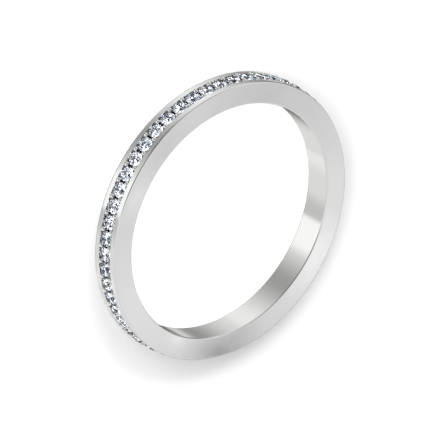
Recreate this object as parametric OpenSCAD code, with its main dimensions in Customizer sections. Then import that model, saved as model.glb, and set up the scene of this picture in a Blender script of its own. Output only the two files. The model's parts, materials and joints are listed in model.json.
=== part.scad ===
// Full eternity ring: a plain flat band whose outer face carries a milled channel, with a closed
// row of small round brilliants set in drilled seats and held by shared beads.
// The ring lies on its side. Z is the axis of the finger hole, and the lower side face is z = 0.

/* [Finger hole] */
// Inside diameter, as worn (about US size 6 1/2)
finger_d = 16.92; // [14:0.02:22]
// Radius of the polished edges of the finger hole
inner_edge_r = 0.1; // [0.05:0.01:0.2]

/* [Band] */
// Width of the band, along the finger
band_w = 2.03; // [1.8:0.01:4]
// Thickness of the band, from the finger hole to the rails
wall = 1.58; // [1.3:0.01:2.5]
// Radius of the outer edges of the rails
outer_edge_r = 0.11; // [0.03:0.01:0.15]

/* [Channel] */
// How far the channel floor lies under the girdles
floor_drop = 0.09; // [0.04:0.01:0.15]
// Play between a stone's girdle and the channel wall on each side
side_play = 0.035; // [0.02:0.005:0.1]

/* [Stones] */
// Girdle diameter of each brilliant
stone_d = 1.07; // [0.9:0.01:1.2]
// Least gap between neighbouring girdles
stone_gap = 0.1; // [0.1:0.01:0.2]
// How far the tables stand above the rails
table_proud = 0.09; // [0:0.005:0.12]
// How far each stone is turned about its own axis against the one before it
stone_turn = 17; // [0:1:45]
// Clearance round the pavilion in its seat
seat_fit = 0.03; // [0.02:0.005:0.05]

/* [Beads] */
// How far the bead tops stand above the rails
bead_proud = 0.12; // [0.02:0.005:0.15]
// Clearance between a bead and the girdles beside it
bead_fit = 0.01; // [0.005:0.005:0.03]
// How far a bead sinks into the channel wall beside it
bead_bite = 0.03; // [0.01:0.005:0.05]

/* [Hidden] */

// Proportions of a round brilliant, as shares of its girdle diameter
TABLE = 0.57;
CROWN = 0.155;
GIRDLE = 0.035;
PAVILION = 0.43;
// How far the star facets reach from the table to the girdle, and the lower halves to the culet
STAR = 0.5;
LOWER_HALF = 0.77;

finger_r = finger_d / 2;
rail_r = finger_r + wall;
mid_z = band_w / 2;
channel_w = stone_d + 2 * side_play;

// Radii, from the ring's axis, at which the parts of each stone lie
stone_r = stone_d / 2;
table_at = rail_r + table_proud;
girdle_top_at = table_at - CROWN * stone_d;
girdle_foot_at = girdle_top_at - GIRDLE * stone_d;
culet_at = girdle_foot_at - PAVILION * stone_d;
floor_r = girdle_foot_at - floor_drop;

// The row closes on the largest whole number of stones that keeps the least gap
stone_n = floor(180 / asin((stone_d + stone_gap) / (2 * girdle_foot_at)));
pitch = 360 / stone_n;

// A bead fills the corner between two girdles and the channel wall, into which it sinks
half_gap_at = girdle_foot_at * sin(pitch / 2);
wall_at = channel_w / 2 + bead_bite;
clear_r = stone_r + bead_fit;
bead_r = (pow(half_gap_at, 2) + pow(wall_at, 2) - pow(clear_r, 2)) / (2 * (clear_r + wall_at));
bead_z = wall_at - bead_r;
bead_at = rail_r + bead_proud - bead_r;
// The neck under a bead's dome is slightly slimmer than the dome
neck_r = bead_r - bead_bite / 2;

// Cutters and necks pass this far beyond the faces that they cut or join
over = 0.05;

// A square block with a quarter circle taken out, which rounds the corner at the origin
module corner_cut(r) {
    difference() {
        translate([-over, -over]) square(r + over);
        translate([r, r]) circle(r, $fn = 32);
    }
}

// Cross-section of the band: x is the radius, y runs along the finger
module band_section() {
    difference() {
        translate([finger_r, 0]) square([wall, band_w]);
        translate([floor_r, mid_z - channel_w / 2]) square([rail_r - floor_r + over, channel_w]);
        for (side = [0, 1]) {
            translate([0, side * band_w]) mirror([0, side]) {
                translate([finger_r, 0]) corner_cut(inner_edge_r);
                translate([rail_r, 0]) mirror([1, 0]) corner_cut(outer_edge_r);
            }
        }
    }
}

// Points outwards along the radius, at mid-width and at the given angle round the ring
module round_the_ring(angle) {
    rotate([0, 0, angle]) translate([0, 0, mid_z]) rotate([0, 90, 0]) children();
}

// Conical seat for one pavilion, open at the channel floor
module seat() {
    foot_at = culet_at - seat_fit;
    mouth_at = floor_r + over / 2;
    mouth_r = stone_r * (mouth_at - culet_at) / (girdle_foot_at - culet_at) + seat_fit;
    translate([0, 0, foot_at])
        cylinder(h = mouth_at - foot_at, r1 = seat_fit / 2, r2 = mouth_r, $fn = 32);
}

// One bead: a ball on a neck that rises from the channel floor, turned from its half section
module bead() {
    rotate_extrude($fn = 24) intersection() {
        union() {
            translate([0, floor_r - over]) square([neck_r, bead_at - floor_r + over]);
            translate([0, bead_at]) circle(bead_r, $fn = 48);
        }
        translate([0, floor_r - over]) square([bead_r, bead_at + bead_r - floor_r + over]);
    }
}

module band() {
    color("gainsboro") difference() {
        union() {
            rotate_extrude($fn = 240) band_section();
            for (i = [0:stone_n - 1], side = [-1, 1]) {
                round_the_ring((i + 0.5) * pitch) translate([side * bead_z, 0, 0]) bead();
            }
        }
        for (i = [0:stone_n - 1]) {
            round_the_ring(i * pitch) seat();
        }
    }
}

// A ring of points at one height, with the first point turned by the given angle
function points_on(r, h, n, turn = 0) =
    [for (i = [0:n - 1]) [r * cos(360 * i / n + turn), r * sin(360 * i / n + turn), h]];

// Corners of a round brilliant, measured along its own axis from the centre of the ring.
// The star and lower corners lie in the planes of the kites on either side of them.
half_side = 22.5;
table_r = TABLE * stone_r;
star_r = table_r * cos(half_side) + STAR * (stone_r - table_r * cos(half_side));
star_at = girdle_top_at
    + CROWN * stone_d * (stone_r - star_r * cos(half_side)) / (stone_r - table_r);
lower_r = (1 - LOWER_HALF) * stone_r;
lower_at = culet_at + PAVILION * stone_d * lower_r * cos(half_side) / stone_r;
stone_points = concat(
    points_on(table_r, table_at, 8),
    points_on(star_r, star_at, 8, half_side),
    points_on(stone_r, girdle_top_at, 16),
    points_on(stone_r, girdle_foot_at, 16),
    points_on(lower_r, lower_at, 8, half_side),
    [[0, 0, culet_at]]);

// Places of the corners in that list. An index that runs past its group starts again.
function table_corner(i) = i % 8;
function star_corner(i) = 8 + i % 8;
function girdle_top_corner(i) = 16 + i % 16;
function girdle_foot_corner(i) = 32 + i % 16;
function lower_corner(i) = 48 + i % 8;
function culet_corner() = 56;

// Table, stars, kites, upper halves, girdle, lower halves and pavilion mains
stone_faces = concat(
    [[for (i = [7:-1:0]) table_corner(i)]],
    [for (i = [0:7]) [table_corner(i), table_corner(i + 1), star_corner(i)]],
    [for (i = [0:7])
        [table_corner(i), star_corner(i), girdle_top_corner(2 * i), star_corner(i + 7)]],
    [for (i = [0:7]) [star_corner(i), girdle_top_corner(2 * i + 1), girdle_top_corner(2 * i)]],
    [for (i = [0:7]) [star_corner(i), girdle_top_corner(2 * i + 2), girdle_top_corner(2 * i + 1)]],
    [for (i = [0:15]) [girdle_top_corner(i), girdle_top_corner(i + 1),
        girdle_foot_corner(i + 1), girdle_foot_corner(i)]],
    [for (i = [0:7]) [lower_corner(i), girdle_foot_corner(2 * i), girdle_foot_corner(2 * i + 1)]],
    [for (i = [0:7]) [lower_corner(i), girdle_foot_corner(2 * i + 1), girdle_foot_corner(2 * i + 2)]],
    [for (i = [0:7]) [culet_corner(), lower_corner(i + 7), girdle_foot_corner(2 * i), lower_corner(i)]]);

module stones() {
    color("aliceblue") for (i = [0:stone_n - 1]) {
        round_the_ring(i * pitch) rotate([0, 0, i * stone_turn])
            polyhedron(points = stone_points, faces = stone_faces);
    }
}

band();
stones();
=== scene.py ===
# %% [markdown]
# # A full eternity ring in polished white gold
# The ring is a flat-sided band with a channel milled round its outer face. A closed row of small
# round brilliants sits in the channel, and pairs of little metal beads hold each stone. The packed
# CAD model gives the places and the main sizes, so we load it first and measure it.

# %% Load the frame
import bpy
import bmesh
import json
import math
from mathutils import Matrix, Vector


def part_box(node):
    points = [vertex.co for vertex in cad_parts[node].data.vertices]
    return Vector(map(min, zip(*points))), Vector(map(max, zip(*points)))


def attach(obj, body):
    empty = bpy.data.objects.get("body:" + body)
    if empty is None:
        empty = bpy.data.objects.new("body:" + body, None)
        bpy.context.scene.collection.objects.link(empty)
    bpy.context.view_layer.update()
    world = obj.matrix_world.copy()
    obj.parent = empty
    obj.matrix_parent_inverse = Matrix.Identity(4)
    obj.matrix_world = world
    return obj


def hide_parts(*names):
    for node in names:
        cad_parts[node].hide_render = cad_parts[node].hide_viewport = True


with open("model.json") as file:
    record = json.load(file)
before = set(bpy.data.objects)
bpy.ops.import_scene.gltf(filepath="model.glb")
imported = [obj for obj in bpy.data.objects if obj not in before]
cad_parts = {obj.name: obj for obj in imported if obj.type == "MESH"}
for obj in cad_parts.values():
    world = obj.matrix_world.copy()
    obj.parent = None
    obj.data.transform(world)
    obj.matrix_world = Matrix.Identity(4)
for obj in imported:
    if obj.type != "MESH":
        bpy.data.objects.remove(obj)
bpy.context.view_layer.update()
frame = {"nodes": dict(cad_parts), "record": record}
MM = 0.001

# %% [markdown]
# An operator works on everything that is selected, and the imported nodes arrive selected. So the
# first habit to learn is to let go of everything before starting a new piece.

# %% Let go of everything
def let_go():
    """Leaves edit mode, if it is on, and selects nothing."""
    if bpy.context.mode != "OBJECT":
        bpy.ops.object.mode_set(mode="OBJECT")
    bpy.ops.object.select_all(action="DESELECT")
    bpy.context.view_layer.objects.active = None


let_go()
print("selected objects:", len(bpy.context.selected_objects))

# %% [markdown]
# ## Measuring the frame
# The finger hole is written in the record as a mount. Its length is the part of the band's width
# that is left between the two rounded edges, so it gives their radius too. The rails' radius is
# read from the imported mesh, from the corners close to the lower side face, where no bead can be.

# %% Measure the band
def radius_of(point):
    """Distance from the ring's axis, which is the Z axis."""
    return math.hypot(point[0], point[1])


band_node = frame["nodes"]["band"]
band_low, band_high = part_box("band")
band_width = band_high.z - band_low.z
mid_z = (band_low.z + band_high.z) / 2

hole = next(m for m in frame["record"]["mounts"] if m["name"] == "finger_hole")
finger_r = hole["dims"]["r_mm"] * MM
inner_edge_r = (band_width - hole["dims"]["length_mm"] * MM) / 2

EDGE_STRIP = 0.3 * MM
rail_r = max(radius_of(v.co) for v in band_node.data.vertices if v.co.z < band_low.z + EDGE_STRIP)
bead_top_r = max(radius_of(v.co) for v in band_node.data.vertices)
print("radii in mm: finger hole", round(finger_r / MM, 3), "rails", round(rail_r / MM, 3),
      "bead tops", round(bead_top_r / MM, 3))

# %% [markdown]
# The culet, the sharp point of a brilliant, is the corner of the stone that lies nearest to the
# ring's axis. So the corners at the least radius say how many stones there are. They stand at
# equal steps, and the first one stands on the X axis.

# %% Count the stones
NEAR = 0.001 * MM

stones_node = frame["nodes"]["stones"]
stone_corners = [v.co for v in stones_node.data.vertices]
culet_r = min(radius_of(c) for c in stone_corners)
culet_turns = {round(math.degrees(math.atan2(c.y, c.x)), 2)
               for c in stone_corners if radius_of(c) < culet_r + NEAR}
stone_count = len(culet_turns)
pitch = 2 * math.pi / stone_count
print("stones:", stone_count, "with their culets at a radius of", round(culet_r / MM, 3), "mm")

# %% [markdown]
# ## The camera
# The ring lies on its side, and the camera looks down at it from the same angle to its axis as in
# the photograph. Every place round the ring is counted in degrees from the camera's side, so one
# small function gives the direction to the camera here, and to cards and lamps later on.

# %% Find the line of sight
# In degrees: round the ring from the X axis, and above the plane of the ring
CAMERA_TURN = 267.81
CAMERA_RISE = 43.4


def direction_to(turn_deg, rise_deg):
    """Unit vector towards a place in the room, its turn counted from the camera's side."""
    t = math.radians(CAMERA_TURN) + math.radians(turn_deg)
    r = math.radians(rise_deg)
    return Vector((math.cos(r) * math.cos(t), math.cos(r) * math.sin(t), math.sin(r)))


to_camera = direction_to(0, CAMERA_RISE)
print("line of sight:", [round(c, 3) for c in to_camera])

# %% [markdown]
# The photograph shows hardly any perspective, as through a very long lens, so an orthographic
# camera is right. It is also rolled about its line of sight, which puts the ring in the picture at
# the photograph's slant, and moved a little, because the ring doesn't lie quite in the middle.

# %% Place the camera
CAMERA_ROLL = 119.6
CAMERA_DISTANCE = 120 * MM
PICTURE_WIDTH = 28.896 * MM
RING_RIGHT_OF_MIDDLE = 0.343 * MM
RING_BELOW_MIDDLE = 0.038 * MM
NEAREST_SEEN = 1 * MM
FARTHEST_SEEN = 1000 * MM

level = to_camera.to_track_quat("Z", "Y")
rolled = level @ Matrix.Rotation(math.radians(CAMERA_ROLL), 3, "Z").to_quaternion()
camera_right = rolled @ Vector((1, 0, 0))
camera_up = rolled @ Vector((0, 1, 0))

camera_data = bpy.data.cameras.new("camera")
camera_data.type = "ORTHO"
camera_data.ortho_scale = PICTURE_WIDTH
camera_data.clip_start = NEAREST_SEEN
camera_data.clip_end = FARTHEST_SEEN
camera = bpy.data.objects.new("camera", camera_data)
bpy.context.scene.collection.objects.link(camera)
camera.rotation_mode = "QUATERNION"
camera.rotation_quaternion = rolled
ring_centre = Vector((0, 0, mid_z))
camera.location = (ring_centre + CAMERA_DISTANCE * to_camera
                   - RING_RIGHT_OF_MIDDLE * camera_right + RING_BELOW_MIDDLE * camera_up)
bpy.context.scene.camera = camera
print("camera stands at", [round(c / MM, 1) for c in camera.location], "mm")

# %% [markdown]
# ## Two helpers for modelling
# By hand we would click on the faces and corners to work on. In code we pick them by where they
# lie. And a finished piece keeps its place in its mesh while its object sits at the origin, so
# that patterns made from its coordinates can't slide.

# %% Select by place, and settle a piece
def select_where(mesh, kind, wanted):
    """Selects the faces or corners whose place passes the test, and nothing else."""
    bpy.ops.mesh.select_mode(type=kind)
    bpy.ops.mesh.select_all(action="DESELECT")
    edit = bmesh.from_edit_mesh(mesh)
    if kind == "FACE":
        for face in edit.faces:
            face.select_set(wanted(face.calc_center_median()))
    else:
        for corner in edit.verts:
            corner.select_set(wanted(corner.co))
    bmesh.update_edit_mesh(mesh)


def settle(piece):
    """Puts a piece's place and turn into its mesh, so that its object sits at the origin."""
    bpy.context.view_layer.update()
    piece.data.transform(piece.matrix_world)
    piece.matrix_world = Matrix.Identity(4)


print("modelling helpers are ready")

# %% [markdown]
# ## The band's section
# A jeweller turns such a band on a lathe, and so do we: draw its cross-section once and spin it
# round the axis. The section starts as a plane, which is cut with bisect where the channel's walls
# and floor run, and then loses the face that is the channel.

# %% Cut the section
CHANNEL_WIDTH = 1.14 * MM
CHANNEL_DEPTH = 0.203 * MM

wall = rail_r - finger_r
floor_r = rail_r - CHANNEL_DEPTH
bpy.ops.mesh.primitive_plane_add(size=1, rotation=(math.pi / 2, 0, 0))
band = bpy.context.active_object
band.name = "polished_band"
settle(band)
bpy.ops.object.mode_set(mode="EDIT")
bpy.ops.transform.resize(value=(wall, 1, band_width))
bpy.ops.transform.translate(value=((finger_r + rail_r) / 2, 0, mid_z))
for side in (-1, 1):
    bpy.ops.mesh.select_all(action="SELECT")
    bpy.ops.mesh.bisect(plane_co=(0, 0, mid_z + side * CHANNEL_WIDTH / 2), plane_no=(0, 0, 1),
                        threshold=NEAR)
bpy.ops.mesh.select_all(action="SELECT")
bpy.ops.mesh.bisect(plane_co=(floor_r, 0, 0), plane_no=(1, 0, 0), threshold=NEAR)
select_where(band.data, "FACE",
             lambda c: c.x > floor_r and abs(c.z - mid_z) < CHANNEL_WIDTH / 2)
bpy.ops.mesh.delete(type="FACE")
print("section corners:", len(bmesh.from_edit_mesh(band.data).verts))

# %% [markdown]
# Polishing rounds every edge a little, and those narrow rounds are what catch the light. The
# edges of the finger hole get more steps, because they show a long soft curve. The rails are
# crisper, and the lips of the channel are only just broken. A vertex bevel on the flat section
# becomes a rolled edge once it is spun. Corners that are left on a straight line are dissolved.

# %% Round the corners of the section
OUTER_EDGE_R = 0.11 * MM
LIP_R = 0.015 * MM
HOLE_STEPS, RAIL_STEPS, LIP_STEPS = 7, 5, 2
ROUND_PROFILE = 0.5
NEARLY_STRAIGHT = math.radians(0.5)


def round_corners(wanted, radius, steps):
    """Rounds the section's corners whose place passes the test."""
    select_where(band.data, "VERT", wanted)
    bpy.ops.mesh.bevel(offset=radius, segments=steps, affect="VERTICES", profile=ROUND_PROFILE)


def at_side(c):
    """True for a corner in one of the flat side faces."""
    return c.z < band_low.z + NEAR or c.z > band_high.z - NEAR


round_corners(lambda c: at_side(c) and c.x < finger_r + NEAR, inner_edge_r, HOLE_STEPS)
round_corners(lambda c: at_side(c) and c.x > rail_r - NEAR, OUTER_EDGE_R, RAIL_STEPS)
round_corners(lambda c: not at_side(c) and c.x > rail_r - NEAR
              and abs(abs(c.z - mid_z) - CHANNEL_WIDTH / 2) < NEAR, LIP_R, LIP_STEPS)
bpy.ops.mesh.select_all(action="SELECT")
bpy.ops.mesh.dissolve_limited(angle_limit=NEARLY_STRAIGHT)
print("section corners now:", len(bmesh.from_edit_mesh(band.data).verts))

# %% [markdown]
# Only the outline is spun, because a spun face would leave a wall inside the metal. The number of
# steps is a whole multiple of the number of stones, so each seat meets the same facets. Where the
# spin closes on itself, its first and last corners are merged, and the faces are turned outwards.

# %% Spin the band
STEPS_PER_STONE = 6
SEAM = 0.0005 * MM

bpy.ops.mesh.select_all(action="SELECT")
bpy.ops.mesh.delete(type="ONLY_FACE")
bpy.ops.mesh.select_all(action="SELECT")
bpy.ops.mesh.spin(steps=STEPS_PER_STONE * stone_count, angle=2 * math.pi,
                  center=(0, 0, 0), axis=(0, 0, 1))
bpy.ops.mesh.select_all(action="SELECT")
bpy.ops.mesh.remove_doubles(threshold=SEAM)
bpy.ops.mesh.normals_make_consistent(inside=False)
let_go()
print("faces after the spin:", len(band.data.polygons))

# %% [markdown]
# ## What repeats round the ring
# Seats and beads repeat once for each stone, so each is modelled once and then copied round the
# axis. Every copy has its own mesh, turned to its place, and the copies are joined into one object
# that can be cut from the band or fused to it in one step.

# %% Copy a piece round the ring
def round_the_ring(piece, turns):
    """Copies a piece to each angle round the Z axis, joins the copies and returns them."""
    copies = []
    for turn in turns:
        twin = bpy.data.objects.new(piece.name, piece.data.copy())
        twin.data.transform(Matrix.Rotation(turn, 4, "Z"))
        bpy.context.scene.collection.objects.link(twin)
        copies.append(twin)
    bpy.data.objects.remove(piece)
    let_go()
    for twin in copies:
        twin.select_set(True)
    bpy.context.view_layer.objects.active = copies[0]
    bpy.ops.object.join()
    joined = bpy.context.active_object
    let_go()
    return joined


stone_turns = [i * pitch for i in range(stone_count)]
gap_turns = [(i + 0.5) * pitch for i in range(stone_count)]
print("one stone takes", round(math.degrees(pitch), 3), "degrees of the ring")

# %% [markdown]
# ## Seats
# Each stone rests in a conical hole drilled into the channel floor. The drill is modelled as a
# cone with the slope of the pavilion, the lower part of a brilliant, and a little play all round.

# %% Model the drill for the seats
STONE_R = 0.535 * MM
# Depth of the pavilion, as a share of the stone's diameter
PAVILION = 0.43
SEAT_PLAY = 0.03 * MM
OVER = 0.05 * MM
DRILL_SIDES = 32

girdle_foot_r = culet_r + PAVILION * 2 * STONE_R
foot_at = culet_r - SEAT_PLAY
mouth_at = floor_r + OVER / 2
mouth_r = STONE_R * (mouth_at - culet_r) / (girdle_foot_r - culet_r) + SEAT_PLAY
bpy.ops.mesh.primitive_cone_add(vertices=DRILL_SIDES, radius1=SEAT_PLAY / 2, radius2=mouth_r,
                                depth=mouth_at - foot_at, rotation=(0, math.pi / 2, 0),
                                location=((foot_at + mouth_at) / 2, 0, mid_z))
drill = bpy.context.active_object
drill.name = "seat_drill"
settle(drill)
drills = round_the_ring(drill, stone_turns)
print("drill faces in all:", len(drills.data.polygons))

# %% [markdown]
# ## Beads
# A setter raises a bead of metal in each gap between two stones, one on either side of the
# channel, and rounds it with a hollow tool. Here a bead is a ball whose underside is cut off flat
# and drawn down to the channel floor as a neck.

# %% Model one bead
BEAD_R = 0.1785 * MM
# How far a bead stands off mid-width
BEAD_Z = 0.4215 * MM
NECK_R = 0.1635 * MM
BEAD_SIDES, BEAD_RINGS = 24, 14

bead_at = bead_top_r - BEAD_R
neck_top = bead_at - math.sqrt(BEAD_R ** 2 - NECK_R ** 2)
bpy.ops.mesh.primitive_uv_sphere_add(segments=BEAD_SIDES, ring_count=BEAD_RINGS, radius=BEAD_R,
                                     rotation=(0, math.pi / 2, 0),
                                     location=(bead_at, 0, mid_z + BEAD_Z))
bead = bpy.context.active_object
bead.name = "bead"
settle(bead)
bpy.ops.object.mode_set(mode="EDIT")
bpy.ops.mesh.select_all(action="SELECT")
bpy.ops.mesh.bisect(plane_co=(neck_top, 0, 0), plane_no=(1, 0, 0), threshold=NEAR,
                    clear_inner=True, use_fill=True)
select_where(bead.data, "FACE", lambda c: c.x < neck_top + NEAR)
bpy.ops.mesh.extrude_region_move(
    TRANSFORM_OT_translate={"value": (floor_r - OVER - neck_top, 0, 0)})
bpy.ops.mesh.select_all(action="SELECT")
bpy.ops.mesh.normals_make_consistent(inside=False)
let_go()
print("bead faces:", len(bead.data.polygons))

# %% [markdown]
# The finished bead stands above mid-width, so a copy of it is shifted to the other side of the
# channel. Both are then copied to every gap, and the two rows are joined.

# %% Copy the beads round the ring
lower_bead = bpy.data.objects.new("lower_bead", bead.data.copy())
bpy.context.scene.collection.objects.link(lower_bead)
lower_bead.data.transform(Matrix.Translation((0, 0, -2 * BEAD_Z)))
beads = round_the_ring(bead, gap_turns)
lower_beads = round_the_ring(lower_bead, gap_turns)
beads.select_set(True)
lower_beads.select_set(True)
bpy.context.view_layer.objects.active = beads
bpy.ops.object.join()
let_go()
print("bead faces in all:", len(beads.data.polygons))

# %% [markdown]
# The real band is one piece of metal, so the beads are fused to it and the seats are cut from it
# with Boolean modifiers, which are applied at once.

# %% Fuse the beads and cut the seats
def combine(piece, other, operation):
    """Applies a Boolean with the other piece, which is then removed."""
    let_go()
    bpy.context.view_layer.objects.active = piece
    piece.select_set(True)
    modifier = piece.modifiers.new(operation.lower(), "BOOLEAN")
    modifier.operation = operation
    modifier.object = other
    modifier.solver = "MANIFOLD"
    bpy.ops.object.modifier_apply(modifier=modifier.name)
    bpy.data.objects.remove(other)
    let_go()


combine(band, beads, "UNION")
combine(band, drills, "DIFFERENCE")
print("band faces:", len(band.data.polygons))

# %% [markdown]
# A polished surface has to be shaded smooth, and its edges have to stay crisp. Smoothing by angle
# does both, and weighted normals keep the flat faces flat right up to their rounded edges. That
# modifier compares areas with a fixed margin, and the faces of a ring in metres are smaller than
# the margin, so the band is made a thousand times bigger for this one step.

# %% Shade the band
SHADE_SCALE = 1000
SMOOTH_BELOW = math.radians(35)

band.data.transform(Matrix.Scale(SHADE_SCALE, 4))
band.select_set(True)
bpy.context.view_layer.objects.active = band
bpy.ops.object.shade_smooth_by_angle(angle=SMOOTH_BELOW)
weigh = band.modifiers.new("weigh_normals", "WEIGHTED_NORMAL")
weigh.keep_sharp = True
bpy.ops.object.modifier_apply(modifier=weigh.name)
band.data.transform(Matrix.Scale(1 / SHADE_SCALE, 4))
let_go()
print("band corners:", len(band.data.vertices))

# %% [markdown]
# ## Finishes
# Both finishes are built from shader nodes. One small helper adds a node and fills its sockets in
# order, either with a plain value or with a link from another node. Two more write the sums and
# the soft steps that most procedural finishes are made of.

# %% Helpers for shader nodes
def add(tree, kind, *feeds, **settings):
    """Adds a shader node and fills its sockets in order, each with a value or a link."""
    made = tree.nodes.new("ShaderNode" + kind)
    for name, value in settings.items():
        setattr(made, name, value)
    for socket, feed in zip(made.inputs, feeds):
        if isinstance(feed, bpy.types.NodeSocket):
            tree.links.new(feed, socket)
        elif feed is not None:
            socket.default_value = feed
    return made


def sum_of(tree, operation, *values):
    """The result of a Math node."""
    return add(tree, "Math", *values, operation=operation).outputs[0]


def soft_step(tree, value, low, high, at_low=0.0, at_high=1.0):
    """Goes softly from one number to another while its input goes from low to high."""
    return add(tree, "MapRange", value, low, high, at_low, at_high,
               interpolation_type="SMOOTHSTEP").outputs[0]


print("shader helpers are ready")

# %% [markdown]
# ## Polished white gold
# White gold is a pale grey metal with a hard mirror polish. The finish isn't the same everywhere:
# the mop polishes the outside and the beads, but it never reaches the bottom of the channel or the
# seats, so those stay dull. The colour also carries painted light: a painted highlight on the beads
# and painted shade in the channel and the seats. We need to know which part of the band a point
# lies in, and its distance from the axis and from mid-width tell us that.

# %% Find the channel and the height in it
HOLE_SKIN = 0.1 * MM
WALL_SKIN = 0.02 * MM
SEAT_BELOW = floor_r - 0.03 * MM
BEAD_ABOVE = floor_r + 0.05 * MM
FLOOR_ENDS, BEAD_BEGINS = 0.5, 0.9

gold = bpy.data.materials.new("white_gold")
gold.use_nodes = True
tree = gold.node_tree
shader = tree.nodes["Principled BSDF"]
place = add(tree, "TexCoord").outputs["Object"]
parts = add(tree, "SeparateXYZ", place)
flat_place = add(tree, "VectorMath", place, (1, 1, 0), operation="MULTIPLY").outputs[0]
from_axis = add(tree, "VectorMath", flat_place, operation="LENGTH").outputs["Value"]
off_middle = sum_of(tree, "ABSOLUTE", sum_of(tree, "SUBTRACT", parts.outputs["Z"], mid_z))
above_hole = soft_step(tree, from_axis, finger_r + HOLE_SKIN, finger_r + 2 * HOLE_SKIN)
between_walls = soft_step(tree, off_middle, CHANNEL_WIDTH / 2, CHANNEL_WIDTH / 2 + WALL_SKIN,
                          1.0, 0.0)
in_channel = sum_of(tree, "MULTIPLY", above_hole, between_walls)
height = add(tree, "MapRange", from_axis, SEAT_BELOW, BEAD_ABOVE).outputs[0]
under_bead = soft_step(tree, height, FLOOR_ENDS, BEAD_BEGINS, 1.0, 0.0)
print("seats below a radius of", round(SEAT_BELOW / MM, 2), "mm, beads above",
      round(BEAD_ABOVE / MM, 2), "mm")

# %% [markdown]
# The darkest places on the whole ring are the narrow gaps where two stones almost touch, where the
# hole between the seats lies deep in shade. That shade is painted: each gap gets a near-black notch
# of colour. The angle round the ring, wrapped to one stone's share of it, tells how far a point
# lies from the nearest notch.

# %% Find the notches
NOTCH_HALF_LENGTH = 0.22 * MM
NOTCH_HALF_WIDTH = 0.12 * MM
NOTCH_SOFT_EDGE = 1.7

turned = sum_of(tree, "ARCTAN2", parts.outputs["Y"], parts.outputs["X"])
in_share = sum_of(tree, "WRAP", turned, pitch, 0.0)
along = sum_of(tree, "MULTIPLY", sum_of(tree, "SUBTRACT", in_share, pitch / 2), floor_r)
notch_at = add(tree, "CombineXYZ", sum_of(tree, "DIVIDE", along, NOTCH_HALF_WIDTH),
               sum_of(tree, "DIVIDE", off_middle, NOTCH_HALF_LENGTH), 0.0).outputs[0]
from_notch = add(tree, "VectorMath", notch_at, operation="LENGTH").outputs["Value"]
near_notch = soft_step(tree, from_notch, 1.0, NOTCH_SOFT_EDGE, 1.0, 0.0)
# The mask of the painted shade at each gap between stones.
notch_shade = sum_of(tree, "MULTIPLY", sum_of(tree, "MULTIPLY", near_notch, under_bead), above_hole)
print("notches:", stone_count)

# %% [markdown]
# The colours follow from that. On metal the base colour says how much of the light comes back, and
# here it is used to paint light: the height in the channel goes through a colour ramp of painted
# shade, nearly black down in the seats and a dull grey on the channel floor, up to a painted
# highlight on top of the beads that is brighter than the plain metal. Everything outside the
# channel is plain polished metal, and the painted shade of the notches is laid over both.

# %% Colour of the white gold
# Painted light: the bead colour is a painted highlight, brighter than the plain metal, and the
# floor and seat colours are painted shade.
BRIGHT_GOLD = (0.865, 0.865, 0.865, 1)
BEAD_PAINTED_HIGHLIGHT = (1.0, 1.0, 0.99, 1)
FLOOR_PAINTED_SHADE = (0.55, 0.55, 0.55, 1)
SEAT_PAINTED_SHADE = (0.05, 0.058, 0.075, 1)
# Painted shade of the deep gap between two stones.
NOTCH_PAINTED_SHADE = (0.02, 0.02, 0.022, 1)
FLOOR_FROM, FLOOR_TO = 0.3, 0.55

# A ramp of painted light: painted shade in the seats and on the channel floor, a painted highlight
# on the beads.
painted_light_ramp = add(tree, "ValToRGB", height)
ramp = painted_light_ramp.color_ramp
ramp.elements[0].color = SEAT_PAINTED_SHADE
ramp.elements[1].color = BEAD_PAINTED_HIGHLIGHT
for stop in (FLOOR_FROM, FLOOR_TO):
    ramp.elements.new(stop).color = FLOOR_PAINTED_SHADE
colour = add(tree, "MixRGB", in_channel, BRIGHT_GOLD, painted_light_ramp.outputs["Color"]).outputs[0]
# The painted shade of the notches is laid over the colour.
colour = add(tree, "MixRGB", notch_shade, colour, NOTCH_PAINTED_SHADE).outputs[0]
tree.links.new(colour, shader.inputs["Base Color"])
shader.inputs["Metallic"].default_value = 1.0
print("colours in the channel:", len(ramp.elements))

# %% [markdown]
# A mirror with no flaw at all looks like a drawing, so the roughness drifts a little between a
# good and a slightly worse polish. The scale of a noise counts its waves in a metre, so a scale of
# 700 gives patches of about one and a half millimetres. Where the mop never came, the metal is
# much rougher.

# %% Roughness of the white gold
DRIFT_SCALE, DRIFT_DETAIL = 700.0, 3.0
DRIFT_FROM, DRIFT_TO = 0.3, 0.7
GOOD_POLISH, WORN_POLISH = 0.05, 0.10
DULL_ROUGHNESS = 0.5

drift = add(tree, "TexNoise", place, None, DRIFT_SCALE, DRIFT_DETAIL).outputs["Fac"]
polish = soft_step(tree, drift, DRIFT_FROM, DRIFT_TO, GOOD_POLISH, WORN_POLISH)
dull = sum_of(tree, "MAXIMUM", notch_shade, sum_of(tree, "MULTIPLY", in_channel, under_bead))
dullness = sum_of(tree, "MULTIPLY", dull, DULL_ROUGHNESS)
tree.links.new(sum_of(tree, "MAXIMUM", polish, dullness), shader.inputs["Roughness"])
print("roughness from", GOOD_POLISH, "to", DULL_ROUGHNESS)

# %% [markdown]
# Two faint bumps are added to the polish: the slow waves that hand polishing leaves, a few
# millimetres long, and the fine lines of the mop, which run round the ring. The lines depend only
# on the distance from the axis and the place along it, and that is what makes them circles.

# %% Bump of the white gold
WAVE_SCALE, WAVE_DETAIL = 260.0, 1.0
WAVE_STRENGTH, WAVE_HEIGHT = 0.3, 0.008 * MM
LINE_SCALE, LINE_DETAIL = 40000.0, 2.0
LINE_STRENGTH, LINE_HEIGHT = 0.04, 0.0004 * MM

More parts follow.
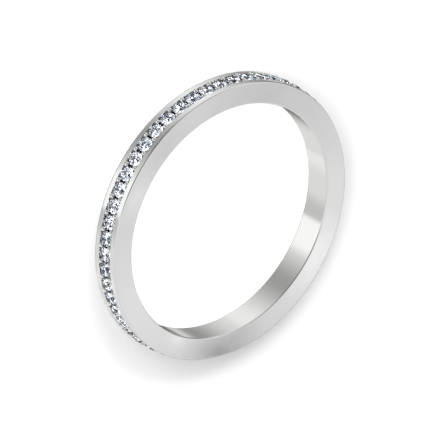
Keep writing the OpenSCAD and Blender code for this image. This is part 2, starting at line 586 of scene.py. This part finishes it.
waves = add(tree, "TexNoise", place, None, WAVE_SCALE, WAVE_DETAIL).outputs["Fac"]
lines_at = add(tree, "CombineXYZ", from_axis, parts.outputs["Z"], 0.0).outputs[0]
lines = add(tree, "TexNoise", lines_at, None, LINE_SCALE, LINE_DETAIL).outputs["Fac"]
waved = add(tree, "Bump", WAVE_STRENGTH, WAVE_HEIGHT, None, waves).outputs["Normal"]
lined = add(tree, "Bump", LINE_STRENGTH, LINE_HEIGHT, None, lines, waved).outputs["Normal"]
tree.links.new(lined, shader.inputs["Normal"])
band.data.materials.clear()
band.data.materials.append(gold)
print("white gold has", len(tree.nodes), "nodes")

# %% [markdown]
# ## Diamond
# A diamond bends light far more than glass does: its refractive index is 2.417, set on the
# shader's own socket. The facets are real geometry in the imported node, so nothing has to be drawn
# on them, and the material only carries a trace of grey blue that differs from stone to stone.
# Metal and stones share one pale room here, where a studio would light each by itself, so the
# mirror on the outside of the stones is weakened and lets the light from inside them be seen.

# %% Diamond
DIAMOND_IOR = 2.417
SURFACE_MIRROR = (0.4, 0.4, 0.42, 1)
LOT_SCALE, LOT_DETAIL = 900.0, 0.0
CLEAR_AT, CLEAR = 0.4, (0.97, 0.975, 0.98, 1)
TINTED_AT, TINTED = 0.6, (0.78, 0.84, 0.93, 1)

diamond = bpy.data.materials.new("diamond")
diamond.use_nodes = True
tree = diamond.node_tree
shader = tree.nodes["Principled BSDF"]
place = add(tree, "TexCoord").outputs["Object"]
lots = add(tree, "TexNoise", place, None, LOT_SCALE, LOT_DETAIL).outputs["Fac"]
tint = add(tree, "ValToRGB", lots)
tint.color_ramp.elements[0].position = CLEAR_AT
tint.color_ramp.elements[0].color = CLEAR
tint.color_ramp.elements[1].position = TINTED_AT
tint.color_ramp.elements[1].color = TINTED
tree.links.new(tint.outputs["Color"], shader.inputs["Base Color"])
shader.inputs["Transmission Weight"].default_value = 1.0
shader.inputs["Roughness"].default_value = 0.0
shader.inputs["IOR"].default_value = DIAMOND_IOR
shader.inputs["Specular Tint"].default_value = SURFACE_MIRROR
stones_node.data.materials.clear()
stones_node.data.materials.append(diamond)
print("diamond has", len(tree.nodes), "nodes")

# %% [markdown]
# ## The studio
# Polished metal has no look of its own: it shows the room. So the room is designed the way a
# product photographer does it, as a pale surround with named soft cards and dark flags. Each has a
# place, counted in degrees round the ring from the camera's side, and soft edges. First we need
# two numbers for each direction in which a ray can leave: its turn and its rise.

# %% Directions in the room
HALF_TURN = 180.0

scene = bpy.context.scene
world = bpy.data.worlds.new("studio")
scene.world = world
world.use_nodes = True
tree = world.node_tree
background = tree.nodes["Background"]
toward = add(tree, "TexCoord").outputs["Generated"]
parts = add(tree, "SeparateXYZ", toward)
turned = sum_of(tree, "ARCTAN2", parts.outputs["Y"], parts.outputs["X"])
turn = sum_of(tree, "DEGREES", sum_of(tree, "SUBTRACT", turned, math.radians(CAMERA_TURN)))
rise = sum_of(tree, "DEGREES", sum_of(tree, "ARCSINE", parts.outputs["Z"]))
print("the camera stands", CAMERA_RISE, "degrees above the ring")

# %% [markdown]
# The table below is the lighting plan. A card adds light and a flag takes it away. The widths are
# half angles, and the soft edges are longer on one side than on the other where a real card stands
# slanted to the ring. A cylinder that is seen from above mirrors only what lies as far below the
# horizon as the camera stands above it, so these cards, which the rails and the inside wall show,
# belong there.

# %% Cards and flags round the ring
SURROUND = 0.795
# name, middle turn, half width, soft edge on the left, soft edge on the right, added light. All
# but the light are in degrees.
CARDS = [
    ("flag behind", -175, 1, 55, 28, -0.77),
    ("left flag", -134, 1, 20, 47, -0.46),
    ("left card", -77, 3, 11, 20, 0.14),
    ("right flag", -25, 1, 38, 36, -0.42),
    ("key card", 26, 11, 14, 4, 0.28),
    ("edge of the key", 46, 3, 4, 18, -0.20),
    ("far right card", 101, 3, 15, 6, 0.115),
]

low_room = SURROUND
for name, middle, half, soft_left, soft_right, light in CARDS:
    away = sum_of(tree, "WRAP", sum_of(tree, "SUBTRACT", turn, middle), HALF_TURN, -HALF_TURN)
    on_left = soft_step(tree, away, -half - soft_left, -half)
    on_right = soft_step(tree, away, half, half + soft_right, 1.0, 0.0)
    amount = sum_of(tree, "MULTIPLY", on_left, on_right)
    low_room = sum_of(tree, "MULTIPLY_ADD", amount, light, low_room)
    low_room.node.label = name
print("cards and flags:", len(CARDS))

# %% [markdown]
# Above the horizon the room is an even pale ceiling, and round patches are laid over the whole
# room. The camera with the photographer is the darkest of them: every rounded edge and bead that
# faces the lens shows it as a small dark spot or a thin dark line. The dark walls stand where the
# other rounded edges look, one after another round the room, and draw the fine grey lines that
# set the rails off from a white background. A light straight above and a dark table top straight
# below give the steep sides of the beads their contrast.

# %% Patches in the room
CEILING = 0.76
# Rise in degrees up to which the cards fill the room, and from which the ceiling does
LOW_ROOM_ENDS, CEILING_BEGINS = -22.0, 4.0
# name, turn, rise, radius of the full patch, radius where it ends, share of the light that is
# left. All but the share are in degrees.
PATCHES = [
    ("camera", 0, CAMERA_RISE, 15, 34, 0.04),
    ("dark low wall", -26, -5, 9, 24, 0.10),
    ("dark near wall", -40, 32, 5, 20, 0.50),
    ("dark side wall", -84, 60, 12, 28, 0.45),
    ("dark far wall", -128, -2, 18, 35, 0.38),
    ("dark back wall", 168, -4, 8, 22, 0.45),
    ("light above", 0, 90, 12, 30, 1.15),
    ("dark table top", 0, -90, 24, 42, 0.35),
]


def round_patch(turn_deg, rise_deg, full, end, outside, inside):
    """Goes softly from one number outside a round patch of the room to another inside it."""
    facing = add(tree, "VectorMath", toward, direction_to(turn_deg, rise_deg),
                 operation="DOT_PRODUCT").outputs["Value"]
    return soft_step(tree, facing, math.cos(math.radians(end)), math.cos(math.radians(full)),
                     outside, inside)


below = soft_step(tree, rise, LOW_ROOM_ENDS, CEILING_BEGINS, 1.0, 0.0)
room = sum_of(tree, "MULTIPLY_ADD", below, sum_of(tree, "SUBTRACT", low_room, CEILING), CEILING)
for name, patch_turn, patch_rise, full, end, stays in PATCHES:
    share = round_patch(patch_turn, patch_rise, full, end, 1.0, stays)
    room = sum_of(tree, "MULTIPLY", room, share)
    room.node.label = name
print("patches:", len(PATCHES))

# %% [markdown]
# So far the room is a plain grey number. The cards below the horizon are faintly warm, and that
# gives the rails and the inside wall the tone of the metal, while the flat side of the band, which
# mirrors the ceiling, stays neutral.

# %% Tint the low room
WHITE = (1, 1, 1, 1)
LOW_TINT = (1.0, 1.006, 0.978, 1)

room_tint = add(tree, "MixRGB", below, WHITE, LOW_TINT).outputs[0]
room = add(tree, "VectorMath", room_tint, None, None, room, operation="SCALE").outputs[0]
print("blue in the low room:", LOW_TINT[2])

# %% [markdown]
# Stones need the opposite of a soft room. Their sparkle comes from many small hard lamps with
# darkness between them, so they get a rig of their own: a sky of cells, of which some are cool
# white lamps and the rest are dark, drawn by lot. The camera and the photographer hide the lamps
# behind them and below the lens, and that leaves the dark facets that a brilliant shows to whoever
# looks straight at it.

# %% Lamps for the stones
LAMP_CELLS = 2.4
# A cell draws a lot between 0 and 1, and is lit when its lot lies above these
LAMP_LOTS = (0.56, 0.58)
LAMP = (2.72, 2.77, 2.9, 1)
UNLIT = (0.015, 0.024, 0.038, 1)
# Rise of the hidden place, and the radii where it is hidden fully and where it ends, in degrees
UNDER_THE_LENS = 16
HIDDEN_FULLY, HIDDEN_UP_TO = 14, 34
LENS_HIDES = 0.92

cells = add(tree, "TexVoronoi", toward, None, LAMP_CELLS).outputs["Color"]
lot = add(tree, "SeparateXYZ", cells).outputs["X"]
lamps = add(tree, "MixRGB", soft_step(tree, lot, *LAMP_LOTS), UNLIT, LAMP).outputs[0]
hidden = round_patch(0, UNDER_THE_LENS, HIDDEN_FULLY, HIDDEN_UP_TO, 0.0, LENS_HIDES)
lamps = add(tree, "MixRGB", hidden, lamps, UNLIT).outputs[0]
print("a cell of the sky takes about", round(math.degrees(1 / LAMP_CELLS)), "degrees")

# %% [markdown]
# The kind of ray decides what it meets. Rays that leave a stone see the lamps, rays that bounce
# off the metal see the soft room, and the camera itself sees plain white.

# %% Show each ray its own room
ray = add(tree, "LightPath")
seen = add(tree, "MixRGB", ray.outputs["Is Transmission Ray"], room, lamps)
seen = add(tree, "MixRGB", ray.outputs["Is Camera Ray"], seen.outputs[0], WHITE)
tree.links.new(seen.outputs[0], background.inputs["Color"])
print("room has", len(tree.nodes), "nodes")

# %% [markdown]
# A flat mirror under a long lens shows only one direction, so the room alone would leave the side
# of the band an even grey. Small soft cards close above the ring fix that. Parallel rays stay
# parallel when they leave a flat face, so each card shows on the band at its own size, straight
# down the mirrored line of sight.

# %% Plan the cards close above the side of the band
CARD_HEIGHT = 40 * MM
# name, place round the band in degrees from the camera's side, distance from the ring's axis in
# mm, radius in mm, light, cover
FACE_CARDS = [
    ("face_card_dark", 127, 10.4, 4.6, 0.02, 0.50),
    ("face_card_bright", 186, 9.2, 4.8, 1.3, 0.50),
    ("face_card_shade", 285, 9.2, 9.0, 0.3, 0.30),
    ("face_card_glint", 11, 9.2, 2.2, 1.2, 0.26),
    ("face_card_left", 66, 9.4, 7.0, 1.2, 0.20),
    ("face_card_streak", 99, 8.6, 1.8, 1.3, 0.36),
    ("face_card_right", 218, 9.2, 3.6, 1.2, 0.18),
    ("face_card_near", 346, 9.2, 3.4, 0.2, 0.16),
    ("face_card_far", 270, 9.2, 1.8, 1.2, 0.14),
]

mirrored = Vector((-to_camera.x, -to_camera.y, to_camera.z))
up_the_line = mirrored * (CARD_HEIGHT / mirrored.z)
print("cards hang", round(up_the_line.z / MM, 1), "mm above the face and",
      round(radius_of(up_the_line) / MM, 1), "mm beyond it")

# %% [markdown]
# A card glows most in its middle and fades to nothing at its rim, so that its reflection has no
# outline. A transparent shader and a glow are mixed by the distance from the card's own middle.

# %% Finish of a card
def card_finish(name, radius, light, cover):
    """A glow that covers what lies behind it, most in the middle and not at all at the rim."""
    soft = bpy.data.materials.new(name)
    soft.use_nodes = True
    tree = soft.node_tree
    tree.nodes.clear()
    local = add(tree, "TexCoord").outputs["Object"]
    out_from_middle = add(tree, "VectorMath", local, operation="LENGTH").outputs["Value"]
    fade = soft_step(tree, out_from_middle, 0.0, radius, cover, 0.0)
    glow = add(tree, "Emission", (light, light, light, 1)).outputs[0]
    clear = add(tree, "BsdfTransparent").outputs[0]
    add(tree, "OutputMaterial", add(tree, "MixShader", fade, clear, glow).outputs[0])
    return soft


print("card finish is ready")

# %% [markdown]
# Each card is a flat disc, hung level like the face below it. Only mirror reflections may see it,
# so it doesn't light the floor or shine into the stones, and it throws no shadow.

# %% Hang the cards
CARD_SIDES = 48

for name, place_deg, place_mm, radius_mm, light, cover in FACE_CARDS:
    card_r = radius_mm * MM
    spot = place_mm * MM * direction_to(place_deg, 0) + Vector((0, 0, band_high.z)) + up_the_line
    bpy.ops.mesh.primitive_circle_add(vertices=CARD_SIDES, radius=card_r, fill_type="NGON",
                                      location=spot)
    card = bpy.context.active_object
    card.name = name
    card.data.materials.append(card_finish(name, card_r, light, cover))
    card.visible_camera = False
    card.visible_diffuse = False
    card.visible_shadow = False
    card.visible_transmission = False
let_go()
print("face cards:", len(FACE_CARDS))

# %% [markdown]
# ## Floor and lamps
# The floor is a plain pale sheet, matt and almost without a shine. The metal and the stones don't
# mirror it, because the cards that were planned for them lie below the horizon.

# %% Floor
FLOOR_SIZE = 2000 * MM
PALE = (0.9, 0.9, 0.9, 1)
MATT = 0.9
FAINT_SHINE = 0.1

bpy.ops.mesh.primitive_plane_add(size=FLOOR_SIZE, location=(0, 0, band_low.z))
floor = bpy.context.active_object
floor.name = "floor"
let_go()
floor.visible_glossy = False
floor.visible_transmission = False
pale = bpy.data.materials.new("pale_floor")
pale.use_nodes = True
shader = pale.node_tree.nodes["Principled BSDF"]
shader.inputs["Base Color"].default_value = PALE
shader.inputs["Roughness"].default_value = MATT
shader.inputs["Specular IOR Level"].default_value = FAINT_SHINE
floor.data.materials.append(pale)
print("floor at", round(floor.location.z / MM, 3), "mm")

# %% [markdown]
# Three soft lamps light the floor so brightly that it reads as white. The metal and the stones
# don't see them, because they have the room for that. The two keys stand low on the camera's side
# and at its left. Each fills most of the shadow that the other throws, so the only shadow that
# stays is the soft one below the ring in the picture, where both meet. The small lamp over the
# finger hole whitens the part of the floor inside the ring that lies in the shadow of the band.

# %% Lamps
# name, turn and rise in degrees, distance in mm, size in mm, power in watts
LAMPS = [
    ("over_the_hole", 0, 90, 7, 7, 0.0010),
    ("right_key", 3, 20, 400, 300, 2.3),
    ("left_key", -59, 19, 400, 400, 2.0),
]

for name, lamp_turn, lamp_rise, distance_mm, size_mm, power in LAMPS:
    data = bpy.data.lights.new(name, "AREA")
    data.shape = "SQUARE"
    data.size = size_mm * MM
    data.energy = power
    lamp = bpy.data.objects.new(name, data)
    scene.collection.objects.link(lamp)
    out = direction_to(lamp_turn, lamp_rise)
    lamp.location = ring_centre + distance_mm * MM * out
    lamp.rotation_mode = "QUATERNION"
    lamp.rotation_quaternion = out.to_track_quat("Z", "Y")
    lamp.visible_glossy = False
    lamp.visible_transmission = False
    lamp.visible_camera = False
print("lamps:", len(LAMPS))

# %% [markdown]
# A ray that enters a brilliant bounces inside it many times before it leaves, so the renderer is
# allowed more bounces than usual. Too few would turn facets black that should be bright. The
# standard view transform shows every colour as it was planned, and white as white.

# %% Let light bounce inside the stones
scene.view_settings.view_transform = "Standard"
scene.cycles.max_bounces = 24
scene.cycles.transmission_bounces = 20
scene.cycles.glossy_bounces = 12
scene.cycles.use_denoising = True
print("bounces:", scene.cycles.max_bounces)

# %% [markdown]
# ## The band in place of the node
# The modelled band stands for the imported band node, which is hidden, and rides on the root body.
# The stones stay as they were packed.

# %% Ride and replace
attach(band, "root")
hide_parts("band")
